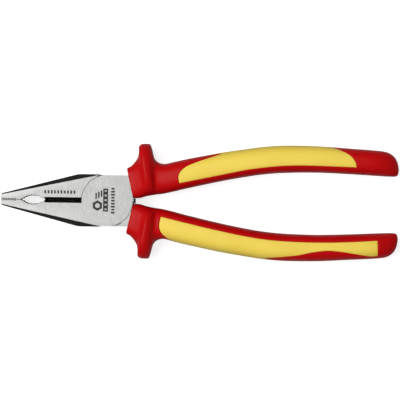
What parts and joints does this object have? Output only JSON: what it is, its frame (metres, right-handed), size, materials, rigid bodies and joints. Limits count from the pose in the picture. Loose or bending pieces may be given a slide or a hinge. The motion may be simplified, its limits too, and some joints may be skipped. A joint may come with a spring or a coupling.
{
  "type": "lineman pliers",
  "caption": "Insulated lineman pliers with serrated nose, pipe grip and wire cutter, lap joint, and guarded two-colour grips.",
  "frame": {"origin": "on the pivot axis, in the ground rear face of the head", "axes": "+X from the nose to the handle ends, +Y to the side of the upper handle, +Z along the pivot axis to the front face"},
  "size_m": [0.1798, 0.0524, 0.0208],
  "materials": {
    "steel": "satin ground faces, black forged flanks",
    "rivet_steel": "ground flush with the head",
    "inner_insulation": "moulded, hidden",
    "red_grip": "semi-matte moulded",
    "yellow_inlay": "soft matte moulded"
  },
  "bodies": {
    "rear_lever": {"rear_half": "steel", "lower_sleeve": "inner_insulation", "lower_grip": "red_grip", "lower_inlay": "yellow_inlay"},
    "front_lever": {"front_half": "steel", "pivot_rivet": "rivet_steel", "upper_sleeve": "inner_insulation", "upper_grip": "red_grip", "upper_inlay": "yellow_inlay"}
  },
  "joints": [
    {"name": "pivot", "type": "hinge", "parent": "rear_lever", "child": "front_lever", "pos_m": [0, 0, 0.0055], "axis": [0, 0, 1], "range_deg": [0, 32]}
  ]
}
